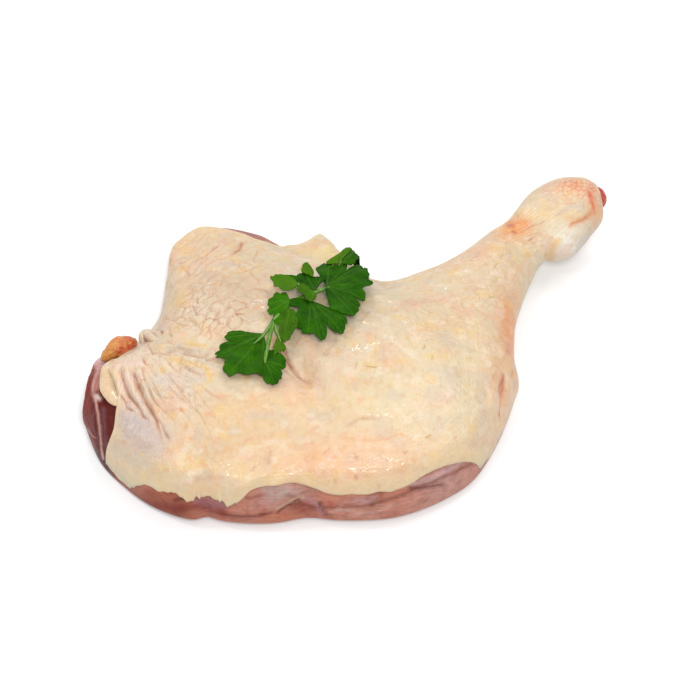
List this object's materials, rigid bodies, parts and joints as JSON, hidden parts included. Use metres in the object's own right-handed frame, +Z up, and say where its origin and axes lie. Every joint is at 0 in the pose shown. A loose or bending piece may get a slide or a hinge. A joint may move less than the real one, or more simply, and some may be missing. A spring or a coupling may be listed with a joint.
{
  "type": "raw duck leg",
  "caption": "Raw duck leg lying skin side up, with loose thigh skin over red meat, a drumstick and hock, and a sprig of flat parsley.",
  "frame": {"origin": "centre of the leg's box in plan, on the table that it lies on", "axes": "+X from the hip end towards the hock, +Y across the leg towards the loose flap of skin, +Z up, the skin side"},
  "size_m": [0.1995, 0.151, 0.0392],
  "materials": {
    "skin": "moist pale cream skin with fat under it, fine wrinkles",
    "meat": "wet raw red-brown muscle with pale films",
    "fat": "wet orange-pink fat",
    "tendon": "wet cream tendon",
    "joint": "wet pink-red cut joint",
    "leaf": "fresh green leaf with veins"
  },
  "bodies": {
    "root": {"skin": "skin", "thigh_meat": "meat", "hip_fat": "fat", "hip_tendon": "tendon", "hock_joint": "joint", "parsley": "leaf"}
  },
  "joints": []
}
